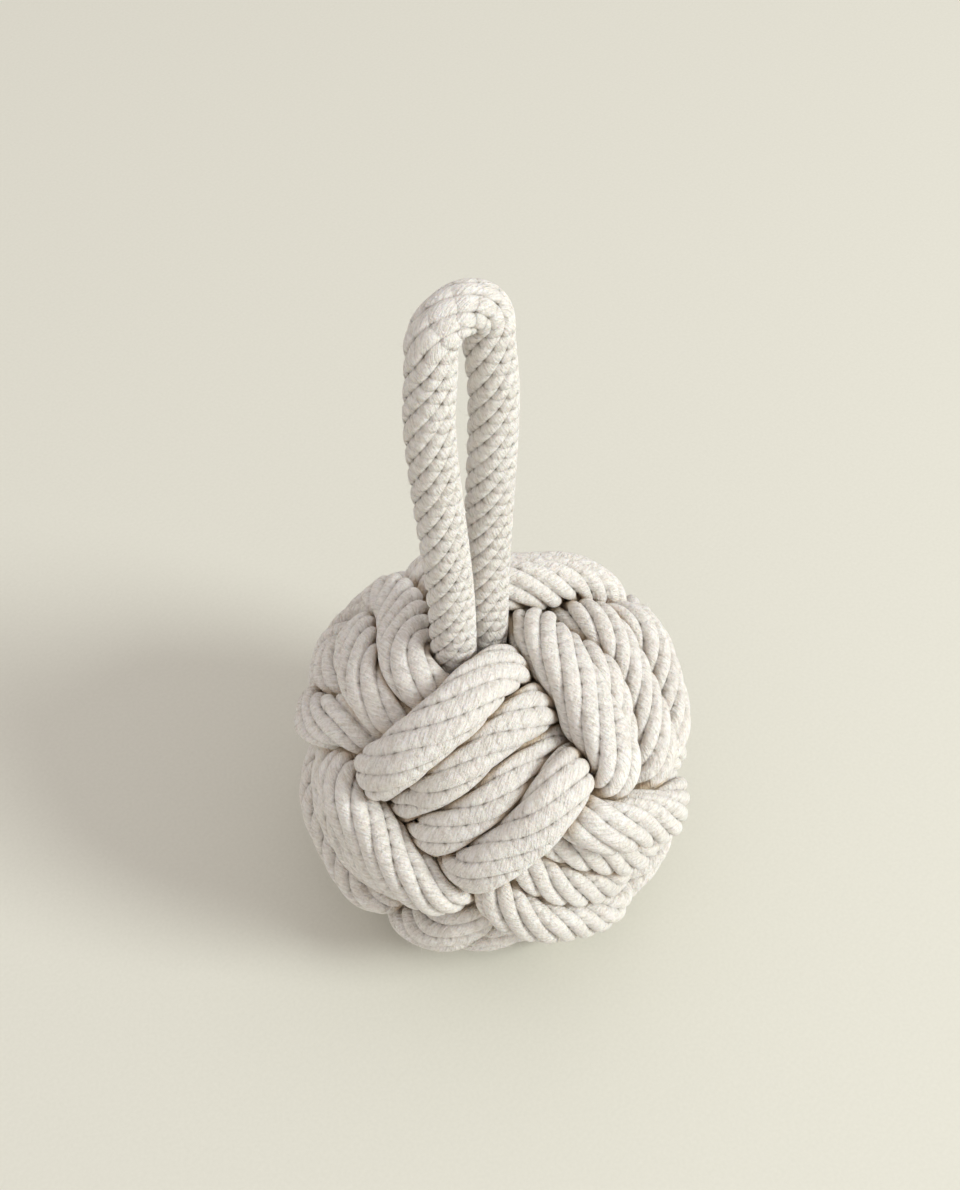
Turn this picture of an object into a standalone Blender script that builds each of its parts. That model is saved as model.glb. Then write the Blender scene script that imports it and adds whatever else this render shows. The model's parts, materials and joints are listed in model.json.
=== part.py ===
"""A rope knot doorstop: a ball woven from four bands of cotton rope round a bag of sand, with a standing
loop of rope as its handle.

Each band is one unbroken length, wound four times round the ball. The four bands lie on four great circles
and pass over and under each other in turn, so they make twelve pillows, eight three-sided corners and six
four-sided holes. The handle comes out of the topmost hole, and the ball stands on the four pillows round the
lowest one. Lengths are in metres, +Z is up, and the origin is on the floor under the middle of the ball.
"""

import math

import bmesh
import bpy
import numpy as np

# Rope
ROPE_DIAMETER = 0.0175
TURNS = 4
BAND_ANGLE = math.radians(76)  # what a band's turns cover, side by side, as seen from the middle
TURN_SPACING = 0.95  # between the turns before they settle, in rope diameters
SWAY = 0.2  # how far a band swings towards the four-sided holes, in rope diameters
OVER_UNDER = 0.46  # how far a band passes outside or inside the middle layer, in rope diameters
CROSSING_SHARPNESS = 2.0
HIDDEN_SQUEEZE = 0.77  # the diameter of a hidden turn, drawn tight, for a full one of 1
HIDDEN_COSINE = -0.6  # a turn is hidden up to this cosine of its place between two crossings, at 1 where
FULL_COSINE = 0.1  # it passes over and -1 where it passes under, and has its full diameter from this one
CROSSING_SQUEEZE = 0.94  # how near two ropes lie, in their diameter, where they cross
SIDE_SQUEEZE = 0.95  # and where they run side by side
STEP_ANGLE = math.radians(110)  # over this angle a turn moves across to the next one
TUCK_ANGLE = math.radians(22.5)  # the ends stop this far from the middle of the crossing that hides them
WEAVE_TURN = math.radians(32)  # of the weave about the upright axis, from the handle's plane
SPREAD = 1.01  # the ball sags under its own weight: its width, for a round one at 1,
SAG = 0.34  # and the share of its depth under the middle that it loses
NEIGHBOUR_REACH = 1.3  # two ropes this near, in rope diameters, press on each other
SAME_ROPE_REACH = 1.6  # and two places on one rope only when further apart along it than this
ROPE_CLEARANCE = 0.0005

# Handle
HANDLE_ROPE_DIAMETER = 0.0165
HANDLE_PLACE = (-0.0060, 0.0072)  # the legs come out of the ball a little beside its upright axis
LEG_GAP = 0.0008  # between the two legs where they come out of the ball
LOOP_WIDTH = 0.0248  # between the middles of the legs where the loop is widest
TOP_WIDTH = 0.0205  # and where its top arc starts
TOP_NARROWING = 0.032  # from the one down to the other
LOOP_HEIGHT = 0.230  # from the middle of the ball to the top of the loop
LOOP_TWIST = math.radians(-15)  # of the top of the loop against its legs
LOOP_LEAN = -0.0035  # the top of the loop stands this far to one side
FOOT_BENDS = (80, 55, 28)  # degrees round each rounded end of the loop, where its form has a ring
HINGE_HEIGHT = 0.075  # where the legs bend, above the middle of the ball
HINGE_CLEARANCE = 0.0004

# Ballast
BAG_DEPTH = 0.0165  # the bag's surface lies this far inside the ropes' middle layer
BAG_WALL = 0.0012
BAG_CLEARANCE = 0.0005
NECK_CLEARANCE = 0.0009
NECK_FLARE = 0.0006
TIE_HEIGHT = 0.0285  # above the middle of the ball, as the next three are
SHOULDER_HEIGHT = 0.018
TAIL_END = 0.0132
SAND_LEVEL = 0.0118
SAND_HEAP = 0.0008  # the middle of the sand's top above its edge
SAND_CLEARANCE = 0.0009
NECK_ABOVE_TIE = 0.003
TAIL_STRAIGHT = 0.0015  # each tail is straight this far above its whipping
TAIL_PARTING = 0.001  # and starts to lean away from the other this far under the tied part of the neck
TAIL_SHIFT = 0.022  # over this height above the neck the tails come over to the handle's place
TIE_TWINE = 0.0025
WHIPPING_WALL = 0.0013
WHIPPING_EDGE = 0.0004
WHIPPING_LENGTH = 0.005
WHIPPING_SETBACK = 0.0005  # from the tail's cut end
WHIPPING_GAP = 0.0011  # between the two whippings
SEAT_CLEARANCE = 0.0003

# Settling of the ropes, and resolution of the forms
LOOP_POINTS = 96  # settling points round one turn
SETTLE_ROUNDS = 260
LISTING_ROUNDS = 5  # the neighbours are listed again after so many rounds
NEIGHBOUR_PUSH = 0.18  # the share of an overlap that each round takes away
LEG_PUSH = 0.7
TURN_PULL = 0.2  # the share of a gap between neighbouring turns that each round takes away
TENSION = 0.3  # and of a bend
CHORD_STRAY = 0.0008  # a rope has just enough points for its straight runs to stray this far at most
CHORD_LENGTH = 0.02  # from the settled line, and to be no longer than this
CHORD_STEPS = 6  # places on each straight run at which its room is measured
SECTION_TRIES = 12  # widths tried for each section, from the rope's own
LEAST_WIDTH = 0.4  # down to this share of it
LEG_POINTS = 12
TOP_POINTS = 11
TAIL_POINTS = 8
BELLY_POINTS = 10
NECK_STEPS = 4
HEAP_SHARE = 0.6  # of the sand's radius, where its top has a ring of points

FLOOR_CUT = ROPE_DIAMETER / 10
WEAVE_RADIUS = TURNS * ROPE_DIAMETER / BAND_ANGLE
BAG_RADIUS = WEAVE_RADIUS - BAG_DEPTH
LEG_OFFSET = (HANDLE_ROPE_DIAMETER + LEG_GAP) / 2
HOLE_RADIUS = LEG_OFFSET + HANDLE_ROPE_DIAMETER / 4
NECK_TOP = TIE_HEIGHT + NECK_ABOVE_TIE
TAIL_SPLAY = HANDLE_ROPE_DIAMETER / 2 + SEAT_CLEARANCE + WHIPPING_WALL + WHIPPING_GAP / 2  # of each tail's end

COTTON = ("cotton_rope", (0.76, 0.72, 0.65, 1), 0.9)
CANVAS = ("bag_canvas", (0.62, 0.55, 0.42, 1), 0.95)
SAND = ("sand", (0.55, 0.44, 0.29, 1), 1.0)
TWINE = ("waxed_twine", (0.70, 0.62, 0.47, 1), 0.7)


def clear_scene():
    for item in list(bpy.data.objects):
        bpy.data.objects.remove(item, do_unlink=True)


def new_collection(name):
    group = bpy.data.collections.new(name)
    bpy.context.scene.collection.children.link(group)
    return group


def material(name, colour, roughness):
    found = bpy.data.materials.get(name)
    if found:
        return found
    made = bpy.data.materials.new(name)
    made.use_nodes = True
    shader = made.node_tree.nodes["Principled BSDF"]
    shader.inputs["Base Color"].default_value = colour
    shader.inputs["Roughness"].default_value = roughness
    shader.inputs["Metallic"].default_value = 0
    return made


def ease(x):
    """0 up to 0, 1 from 1, and a smooth rise between."""
    x = np.clip(x, 0, 1)
    return x * x * (3 - 2 * x)


def band_axes(index):
    """The normal of a band's great circle, and two directions in its plane. The first points at a crossing
    beside the topmost hole where this band passes over."""
    turn = WEAVE_TURN + math.radians(90 * index)
    upright = np.array([[math.cos(turn), -math.sin(turn), 0], [math.sin(turn), math.cos(turn), 0], [0, 0, 1]])
    normal = upright @ np.array([1, 1, 1]) / math.sqrt(3)
    along = upright @ np.array([-1, 0, 1]) / math.sqrt(2)
    return normal, along, np.cross(normal, along)


def sag(up):
    """How far the ball's own weight lets each of its places stay from the middle, as a share of a round
    ball's radius. The places are given by how far up they lie, from -1 at the bottom to 1 at the top."""
    flat = np.where(up < 0, 1 - SAG * up**2, 1)
    return 1 / np.sqrt((1 - up**2) / SPREAD**2 + (up / flat) ** 2)


def upness(points):
    return points[:, 2] / np.linalg.norm(points, axis=1)


def band_route(index):
    """A band's middle line before it settles: four loops as one unbroken spiral. It starts and ends under
    the crossing at half a turn, where each loop also moves across to its neighbour."""
    step = 2 * math.pi / LOOP_POINTS
    count = round((TURNS * 2 * math.pi - 2 * TUCK_ANGLE) / step) + 1
    wound = TUCK_ANGLE + step * np.arange(count)
    lane = -(TURNS + 1) / 2 + sum(
        ease((wound - 2 * math.pi * loop) / STEP_ANGLE + 0.5) for loop in range(TURNS + 1)
    )
    angle = wound + math.pi
    sideways = (lane * TURN_SPACING + SWAY * np.sin(3 * angle)) * ROPE_DIAMETER / WEAVE_RADIUS
    level = np.tanh(CROSSING_SHARPNESS * np.cos(3 * angle)) / math.tanh(CROSSING_SHARPNESS)
    radius = WEAVE_RADIUS + OVER_UNDER * ROPE_DIAMETER * level
    normal, along, across = band_axes(index)
    outward = np.cos(angle)[:, None] * along + np.sin(angle)[:, None] * across
    round_ball = radius[:, None] * (np.cos(sideways)[:, None] * outward + np.sin(sideways)[:, None] * normal)
    fullness = ease((np.cos(3 * angle) - HIDDEN_COSINE) / (FULL_COSINE - HIDDEN_COSINE))
    thickness = ROPE_DIAMETER * (HIDDEN_SQUEEZE + (1 - HIDDEN_SQUEEZE) * fullness)
    return np.column_stack([opened(round_ball * sag(upness(round_ball))[:, None]), thickness])


def close_pairs(points, rope, along):
    """Pairs of points of neighbouring ropes, without those near each other along one rope."""
    square = (points**2).sum(axis=1)
    far = square[:, None] + square[None, :] - 2 * points @ points.T
    first, second = np.where(np.triu(far < (NEIGHBOUR_REACH * ROPE_DIAMETER) ** 2, 1))
    keep = (rope[first] != rope[second]) | (along[second] - along[first] > SAME_ROPE_REACH * ROPE_DIAMETER)
    return first[keep], second[keep]


def opened(points):
    """The points with the topmost hole spread, so that the handle's legs stand inside it."""
    share = ease(points[:, 2] / BAG_RADIUS)[:, None]
    offset = points[:, :2] - share * HANDLE_PLACE
    wider = np.sqrt(1 + share * (HOLE_RADIUS / np.linalg.norm(offset, axis=1)[:, None]) ** 2)
    return np.column_stack([share * HANDLE_PLACE + offset * wider, points[:, 2]])


def aside(heights):
    """How far the handle's rope has come over to its place at heights above the middle of the ball: 0 in the
    bag's neck and 1 where it leaves the ball."""
    return ease((heights - NECK_TOP) / TAIL_SHIFT)


def leg_offset(points):
    """To each point above the middle of the ball from the nearest of the handle's two legs or what lies
    between them, level with it. Lower points are far away."""
    offset = points[:, :2] - aside(points[:, 2])[:, None] * HANDLE_PLACE
    offset[:, 0] -= np.clip(offset[:, 0], -LEG_OFFSET, LEG_OFFSET)
    offset[points[:, 2] <= 0] = WEAVE_RADIUS
    return offset


def settle(routes):
    """The bands pushed apart until each rope has room, drawn tight, and kept off the bag and the handle.
    A route holds each point's place and thickness."""
    points, thick = np.split(np.concatenate(routes), [3], axis=1)
    thick = thick[:, 0]
    rope = np.repeat(np.arange(len(routes)), [len(route) for route in routes])
    along = np.arange(len(points)) * 2 * math.pi * WEAVE_RADIUS / LOOP_POINTS
    inner = np.where((rope == np.roll(rope, 1)) & (rope == np.roll(rope, -1)))[0]
    turn = np.where(rope[:-LOOP_POINTS] == rope[LOOP_POINTS:])[0]
    spacing = TURN_SPACING * thick[turn]
    beside_leg = (HANDLE_ROPE_DIAMETER + thick) / 2
    run = np.zeros_like(points)
    for round_ in range(SETTLE_ROUNDS):
        if round_ % LISTING_ROUNDS == 0:
            first, second = close_pairs(points, rope, along)
            run[inner] = points[inner + 1] - points[inner - 1]
            run /= np.linalg.norm(run, axis=1)[:, None] + 1e-9
            beside = np.abs((run[first] * run[second]).sum(axis=1))
            room = (thick[first] + thick[second]) / 2
            room *= CROSSING_SQUEEZE + (SIDE_SQUEEZE - CROSSING_SQUEEZE) * beside
        between = points[first] - points[second]
        far = np.linalg.norm(between, axis=1)
        push = between * (NEIGHBOUR_PUSH * np.clip(room - far, 0, None) / far)[:, None]
        np.add.at(points, first, push)
        np.add.at(points, second, -push)
        between = points[turn] - points[turn + LOOP_POINTS]
        far = np.linalg.norm(between, axis=1)
        pull = between * (TURN_PULL * np.clip(far - spacing, 0, None) / far)[:, None]
        points[turn] -= pull
        points[turn + LOOP_POINTS] += pull
        points[inner] += TENSION * ((points[inner - 1] + points[inner + 1]) / 2 - points[inner])
        reach = BAG_RADIUS * sag(upness(points)) + BAG_CLEARANCE + thick / 2
        points *= np.maximum(1, reach / np.linalg.norm(points, axis=1))[:, None]
        offset = leg_offset(points)
        far = np.linalg.norm(offset, axis=1)
        near = far < beside_leg
        points[near, :2] += offset[near] * (LEG_PUSH * (beside_leg - far)[near] / far[near])[:, None]
    settled = np.column_stack([points, thick])
    return np.split(settled, np.cumsum([len(route) for route in routes])[:-1])


def chord_points(line):
    """The numbers of those points of a settled line that its rope keeps."""
    kept = [0]
    while kept[-1] < len(line) - 1:
        start = end = kept[-1] + 1
        begin = line[start - 1]
        for end in range(start, len(line)):
            chord = line[end] - begin
            between = line[start:end] - begin
            share = between @ chord / (chord @ chord)
            stray = np.linalg.norm(between - share[:, None] * chord, axis=1).max(initial=0)
            if stray > CHORD_STRAY or np.linalg.norm(chord) > CHORD_LENGTH:
                end = max(end - 1, start)
                break
        kept.append(end)
    return kept


def filled_in(route):
    """The points of straight runs between a route's points, and where along the route each lies."""
    place = np.linspace(0, len(route) - 1, (len(route) - 1) * CHORD_STEPS + 1)
    return np.stack([np.interp(place, np.arange(len(route)), row) for row in route.T], axis=1), place


def cross_directions(line):
    """Across each point of a line, one direction along the ball's surface and one away from its middle."""
    run = np.gradient(line, axis=0)
    side = np.cross(run, line)
    side /= np.linalg.norm(side, axis=1)[:, None]
    out = np.cross(side, run)
    return side, out / np.linalg.norm(out, axis=1)[:, None]


def rope_sections(routes):
    """Each rope's half width along the ball's surface and half height across it, at its points, from routes
    that hold each point's place and free thickness. Soft rope is round where it is free, and goes flat where
    its neighbours squeeze it. No rope reaches past its share of the way to a neighbour, in that direction.
    It also prints the least gap that this leaves."""
    lines = [filled_in(route) for route in routes]
    points, thick = np.split(np.concatenate([line for line, _ in lines]), [3], axis=1)
    thick = thick[:, 0]
    rope = np.repeat(np.arange(len(lines)), [len(line) for line, _ in lines])
    along = np.cumsum(np.linalg.norm(np.diff(points, axis=0, prepend=points[:1]), axis=1))
    side, out = (np.concatenate(rows) for rows in zip(*(cross_directions(line[:, :3]) for line, _ in lines)))
    every = np.arange(len(points))

    first, second = close_pairs(points, rope, along)
    between = points[first] - points[second]
    far = np.linalg.norm(between, axis=1)
    share = (far - ROPE_CLEARANCE) / (thick[first] + thick[second])
    beside = np.column_stack([leg_offset(points), np.zeros(len(points))])
    leg = np.linalg.norm(beside, axis=1)
    middle = np.linalg.norm(points, axis=1)
    owner = np.concatenate([first, second, every, every])
    towards = np.concatenate([between / far[:, None], between / far[:, None], beside / leg[:, None],
                              points / middle[:, None]])
    room = np.concatenate([
        share * thick[first],
        share * thick[second],
        leg - HANDLE_ROPE_DIAMETER / 2 - ROPE_CLEARANCE,
        middle - BAG_RADIUS * sag(upness(points)) - BAG_CLEARANCE,
    ])
    sideways = (towards * side[owner]).sum(axis=1) ** 2
    outwards = (towards * out[owner]).sum(axis=1) ** 2 + 1e-9

    sections = [np.zeros((len(route), 2)) for route in routes]
    for width in ROPE_DIAMETER / 2 * np.linspace(1, LEAST_WIDTH, SECTION_TRIES):
        height = np.full(len(points), ROPE_DIAMETER / 2)
        left = np.clip(room**2 - width**2 * sideways, 0, None) * (room > 0)
        np.minimum.at(height, owner, np.sqrt(left / outwards))
        for index, (section, (_, place)) in enumerate(zip(sections, lines)):
            own = height[rope == index]
            lowest = np.array([own[np.abs(place - k) < 1].min() for k in range(len(section))])
            better = width * lowest > section.prod(axis=1)
            section[better] = np.column_stack([np.full(len(section), width), lowest])[better]

    half = np.concatenate([
        np.stack([np.interp(place, np.arange(len(section)), row) for row in section.T], axis=1)
        for section, (_, place) in zip(sections, lines)
    ])
    reach = np.sqrt(half[owner, 0] ** 2 * sideways + half[owner, 1] ** 2 * outwards)[: 2 * len(first)]
    gap = (far - reach[: len(first)] - reach[len(first) :]).min()
    print(f"least gap between ropes {gap * 1000:.2f} mm, flattest rope {2000 * half[:, 1].min():.1f} mm")
    return sections


def tube(name, group, finish, points, radii, resolution, parent):
    """A rope as a curve object through points, each with its own radius."""
    curve = bpy.data.curves.new(name, "CURVE")
    curve.dimensions = "3D"
    curve.bevel_depth = 1
    curve.bevel_resolution = resolution
    curve.use_fill_caps = True
    spline = curve.splines.new("POLY")
    spline.points.add(len(points) - 1)
    for point, place, radius in zip(spline.points, points, radii):
        point.co = (*place, 1)
        point.radius = radius
    made = bpy.data.objects.new(name, curve)
    made.parent = parent
    curve.materials.append(material(*finish))
    group.objects.link(made)
    return made


def as_mesh(item):
    """The curve object as a mesh object with welded caps, in its place."""
    bpy.context.view_layer.update()
    graph = bpy.context.evaluated_depsgraph_get()
    mesh = bpy.data.meshes.new_from_object(item.evaluated_get(graph))
    shell = bmesh.new()
    shell.from_mesh(mesh)
    bmesh.ops.remove_doubles(shell, verts=shell.verts, dist=0.00001)
    shell.to_mesh(mesh)
    shell.free()
    name, place, group = item.name, item.matrix_world.copy(), item.users_collection[0]
    bpy.data.objects.remove(item, do_unlink=True)
    made = bpy.data.objects.new(name, mesh)
    made.matrix_world = place
    group.objects.link(made)
    mesh.shade_smooth()
    mesh.set_sharp_from_angle(angle=math.radians(60))
    return made


def turned(name, group, finish, profile, parent, closed=False, steps=24):
    """A turned shape from (distance from the axis, height) points, listed from the top down the outer side."""
    mesh = bpy.data.meshes.new(name)
    count = len(profile)
    edges = [(k, (k + 1) % count) for k in range(count if closed else count - 1)]
    mesh.from_pydata([(across, 0, height) for across, height in profile], edges, [])
    mesh.materials.append(material(*finish))
    made = bpy.data.objects.new(name, mesh)
    made.parent = parent
    group.objects.link(made)
    screw = made.modifiers.new("turn", "SCREW")
    screw.axis = "Z"
    screw.steps = screw.render_steps = steps
    screw.use_merge_vertices = True
    screw.merge_threshold = 0.00001
    return made


def arc(middle, radius, start, end, count):
    """Points on an arc in a profile, about (distance from the axis, height), from one angle to another."""
    return [
        (middle[0] + radius * math.cos(angle), middle[1] + radius * math.sin(angle))
        for angle in (start + (end - start) * k / (count - 1) for k in range(count))
    ]


def sagged_arc(radius, start):
    """Points on the profile of a ball that sags, from a height down to its bottom."""
    points = arc((0, 0), radius, math.asin(start / radius), -math.pi / 2, BELLY_POINTS)
    shares = [float(sag(height / radius)) for _, height in points]
    outline = [(across * share, height * share) for (across, height), share in zip(points, shares)]
    return [*outline[:-1], (0, outline[-1][1])]


def flattened(rope, line, sections):
    """The rope's rings, made as round as they are wide, brought to their height across the ball's surface."""
    _, out = cross_directions(line)
    places = np.array([corner.co for corner in rope.data.vertices])
    ring = np.linalg.norm(places[:, None] - line[None], axis=2).argmin(axis=1)
    offset = places - line[ring]
    height = (offset * out[ring]).sum(axis=1) * (sections[ring, 1] / sections[ring, 0] - 1)
    rope.data.vertices.foreach_set("co", (places + height[:, None] * out[ring]).ravel())
    rope.data.update()


def weave(group, cutters, centre):
    """The four bands, standing on flats that the floor presses into their lowest turns."""
    settled = settle([band_route(k) for k in range(4)])
    routes = [route[chord_points(route[:, :3])] for route in settled]
    ropes = []
    for k, (route, sections) in enumerate(zip(routes, rope_sections(routes))):
        line = route[:, :3]
        rope = as_mesh(tube(f"weave_rope_{k + 1}", group, COTTON, line, sections[:, 0], 1, centre))
        flattened(rope, line, sections)
        ropes.append(rope)
    lowest = min(corner.co.z for rope in ropes for corner in rope.data.vertices)
    centre.location.z = -(lowest + FLOOR_CUT)
    bpy.ops.mesh.primitive_cube_add(size=2 * WEAVE_RADIUS, location=(0, 0, -WEAVE_RADIUS))
    floor = bpy.context.object
    floor.name = "floor_cutter"
    floor.hide_render = True
    floor.display_type = "WIRE"
    for owner in list(floor.users_collection):
        owner.objects.unlink(floor)
    cutters.objects.link(floor)
    for rope in ropes:
        rope.parent = centre
        flat = rope.modifiers.new("standing_flat", "BOOLEAN")
        flat.operation = "DIFFERENCE"
        flat.solver = "EXACT"
        flat.object = floor


def loop_route():
    """The handle's middle line from one leg's bend, over the top, to the other's, seen from the hinge."""
    rise = LOOP_HEIGHT - HANDLE_ROPE_DIAMETER / 2 - TOP_WIDTH / 2 - HINGE_HEIGHT
    heights = np.linspace(0, rise, LEG_POINTS)
    opening = LEG_OFFSET + (LOOP_WIDTH / 2 - LEG_OFFSET) * ease(heights / (rise - TOP_NARROWING))
    opening -= (LOOP_WIDTH - TOP_WIDTH) / 2 * ease((heights - rise) / TOP_NARROWING + 1)
    top = arc((0, rise), TOP_WIDTH / 2, math.pi, 0, TOP_POINTS)[1:-1]
    flat = [*zip(-opening, heights), *top, *zip(opening[::-1], heights[::-1])]
    route = []
    for across, height in flat:
        share = ease(height / (rise + TOP_WIDTH / 2))
        twist = LOOP_TWIST * share
        route.append((LOOP_LEAN * share + across * math.cos(twist), across * math.sin(twist), height))
    return np.array(route)


def handle(group, centre):
    """The standing loop with rounded ends that meet the tails, and the tails down into the bag's neck."""
    hinge = bpy.data.objects.new("handle_hinge", None)
    hinge.parent = centre
    hinge.location = (*HANDLE_PLACE, HINGE_HEIGHT)
    group.objects.link(hinge)
    radius = HANDLE_ROPE_DIAMETER / 2
    route = loop_route()
    bends = [math.radians(bend) for bend in FOOT_BENDS]
    foot = [(0, 0, -radius * math.sin(bend)) for bend in bends]
    thin = [radius * math.cos(bend) for bend in bends]
    points = [route[0] + step for step in foot] + list(route) + [route[-1] + step for step in foot[::-1]]
    radii = thin + [radius] * len(route) + thin[::-1]
    tube("handle_loop", group, COTTON, points, radii, 2, hinge)

    tail_top = HINGE_HEIGHT - radius - HINGE_CLEARANCE
    straight = TAIL_END + WHIPPING_SETBACK + WHIPPING_LENGTH + TAIL_STRAIGHT
    parting = TIE_HEIGHT - TIE_TWINE - TAIL_PARTING
    inside_bag = np.linspace(NECK_TOP, straight, TAIL_POINTS)
    heights = np.concatenate([[tail_top, NECK_TOP + TAIL_SHIFT], inside_bag, [TAIL_END]])
    across = LEG_OFFSET + (TAIL_SPLAY - LEG_OFFSET) * ease((parting - heights) / (parting - straight))
    for side, name in ((-1, "left"), (1, "right")):
        points = [
            (side * x + HANDLE_PLACE[0] * share, HANDLE_PLACE[1] * share, height)
            for x, height, share in zip(across, heights, aside(heights))
        ]
        tube(f"handle_tail_{name}", group, COTTON, points, [radius] * len(points), 2, centre)
        whipping(f"tail_whipping_{name}", group, side * TAIL_SPLAY, centre)


def whipping(name, group, across, centre):
    """Twine wound tight round a tail's cut end, with a rounded edge."""
    inside = HANDLE_ROPE_DIAMETER / 2 + SEAT_CLEARANCE
    outside = inside + WHIPPING_WALL
    low = TAIL_END + WHIPPING_SETBACK
    high = low + WHIPPING_LENGTH
    profile = [
        (inside, high),
        (outside - WHIPPING_EDGE, high),
        (outside, high - WHIPPING_EDGE),
        (outside, low + WHIPPING_EDGE),
        (outside - WHIPPING_EDGE, low),
        (inside, low),
    ]
    ring = turned(name, group, TWINE, profile, centre, closed=True, steps=16)
    ring.location = (across, 0, 0)


def ballast(group, centre):
    """The bag of sand that the ropes are wound round, tied at its neck round the handle's tails."""
    neck = LEG_OFFSET + HANDLE_ROPE_DIAMETER / 2 + NECK_CLEARANCE + BAG_WALL
    belly = sagged_arc(BAG_RADIUS, SHOULDER_HEIGHT)
    out, up = belly[0]
    drop = TIE_HEIGHT - TIE_TWINE - up
    shares = [k / NECK_STEPS for k in range(NECK_STEPS, 0, -1)]
    slope = [(neck + (out - neck) * (1 - ease(share)), up + drop * share) for share in shares]
    profile = [(neck + NECK_FLARE, NECK_TOP), (neck, TIE_HEIGHT + TIE_TWINE), *slope, *belly]
    bag = turned("ballast_bag", group, CANVAS, profile, centre)
    wall = bag.modifiers.new("wall", "SOLIDIFY")
    wall.thickness = BAG_WALL
    wall.offset = -1
    wall.use_even_offset = True

    heap = sagged_arc(BAG_RADIUS - BAG_WALL - SAND_CLEARANCE, SAND_LEVEL)
    rise = [(heap[0][0] * share, SAND_LEVEL + SAND_HEAP * (1 - ease(share))) for share in (0, HEAP_SHARE)]
    turned("sand_fill", group, SAND, rise + heap, centre)

    bpy.ops.mesh.primitive_torus_add(
        major_radius=neck + TIE_TWINE / 2 + SEAT_CLEARANCE,
        minor_radius=TIE_TWINE / 2,
        major_segments=24,
        minor_segments=6,
        location=(0, 0, TIE_HEIGHT),
    )
    tie = bpy.context.object
    tie.name = "bag_neck_tie"
    tie.data.materials.append(material(*TWINE))
    for owner in list(tie.users_collection):
        owner.objects.unlink(tie)
    group.objects.link(tie)
    tie.parent = centre


def main():
    clear_scene()
    group = new_collection("rope_knot_doorstop")
    cutters = new_collection("cutters")
    centre = bpy.data.objects.new("ball_centre", None)
    group.objects.link(centre)
    weave(group, cutters, centre)
    handle(group, centre)
    ballast(group, centre)
    bpy.context.view_layer.update()
    print(f"middle of the ball {centre.location.z * 1000:.2f} mm above the floor")


main()
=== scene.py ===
# %% [markdown]
# # A rope knot doorstop
# A ball woven from four bands of cotton rope round a bag of sand, with a standing loop of like rope as its
# handle. The frame holds every piece at its real size and place, so this lesson is about the looks: rope
# that is squeezed where it is pulled tight, the lay of its strands, and soft light on a pale floor.

# %% The frame and its size
import json
import math
from collections import namedtuple
from functools import partial

import bpy
import numpy as np
from mathutils import Matrix, Vector


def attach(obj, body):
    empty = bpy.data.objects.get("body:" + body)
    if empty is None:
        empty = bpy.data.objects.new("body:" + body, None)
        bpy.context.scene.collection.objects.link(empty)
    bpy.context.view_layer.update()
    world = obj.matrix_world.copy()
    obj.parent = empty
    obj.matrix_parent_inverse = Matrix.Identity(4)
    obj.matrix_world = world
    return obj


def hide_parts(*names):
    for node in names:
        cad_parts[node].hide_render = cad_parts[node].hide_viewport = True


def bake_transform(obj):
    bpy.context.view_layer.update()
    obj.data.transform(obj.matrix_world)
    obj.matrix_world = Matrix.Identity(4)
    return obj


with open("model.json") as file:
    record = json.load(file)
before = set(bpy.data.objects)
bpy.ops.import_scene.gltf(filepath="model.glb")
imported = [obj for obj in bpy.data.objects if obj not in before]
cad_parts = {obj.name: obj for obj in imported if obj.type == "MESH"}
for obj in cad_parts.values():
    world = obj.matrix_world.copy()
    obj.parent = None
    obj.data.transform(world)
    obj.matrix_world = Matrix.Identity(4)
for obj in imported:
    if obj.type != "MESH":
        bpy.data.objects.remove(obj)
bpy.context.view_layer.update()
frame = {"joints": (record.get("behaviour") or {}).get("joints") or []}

hinge = np.array(frame["joints"][0]["pos_m"])

# %% [markdown]
# ## Sizes
# These are the object's own sizes, in metres. The ball's size follows from its rope, because four turns lie
# side by side in each band. The ball's middle lies a fixed height under the hinge where the handle bends.

# %% The object's sizes
ROPE_DIAMETER = 0.0175
BANDS = 4
TURNS = 4  # of each band round the ball
BAND_ANGLE = math.radians(76)  # what a band's turns cover, side by side, as seen from the middle
BAG_DEPTH = 0.0165  # the bag's surface lies this far inside the ropes' middle layer
HANDLE_ROPE_DIAMETER = 0.0165
HANDLE_PLACE = (-0.0060, 0.0072)  # the legs come out of the ball a little beside its upright axis
LEG_GAP = 0.0008  # between the two legs where they come out of the ball
HINGE_HEIGHT = 0.075  # where the legs bend, above the middle of the ball

WEAVE_RADIUS = TURNS * ROPE_DIAMETER / BAND_ANGLE
BAG_RADIUS = WEAVE_RADIUS - BAG_DEPTH
LEG_OFFSET = (HANDLE_ROPE_DIAMETER + LEG_GAP) / 2
centre = np.array([0, 0, hinge[2] - HINGE_HEIGHT])
print(f"middle of the ball {centre[2] * 1000:.1f} mm above the floor")

# %% [markdown]
# ## The camera
# The picture is taken with a long lens from well above, looking down at the ball and the floor round it.
# The camera is made first, because every look is judged through it. It is placed from the angles that it
# looks along and from where the ball's middle lies in the picture, so that each of these can be changed by
# itself.

# %% The camera
LOOK_ROUND = math.radians(-50)
LOOK_DOWN = math.radians(49.5)
DISTANCE = 0.75
PICTURE_HEIGHT = 1190  # in pixels, as the next three are
FOCAL_LENGTH = 2000
BALL_ASIDE, BALL_BELOW = 15, 158  # the ball's middle, from the picture's middle
FILM_HEIGHT = 36  # in millimetres
FARTHEST_SEEN = 50

ahead = Vector((
    -math.sin(LOOK_ROUND) * math.cos(LOOK_DOWN),
    math.cos(LOOK_ROUND) * math.cos(LOOK_DOWN),
    -math.sin(LOOK_DOWN),
))
right = Vector((math.cos(LOOK_ROUND), math.sin(LOOK_ROUND), 0))
above = right.cross(ahead)
pixel = DISTANCE / FOCAL_LENGTH

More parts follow.
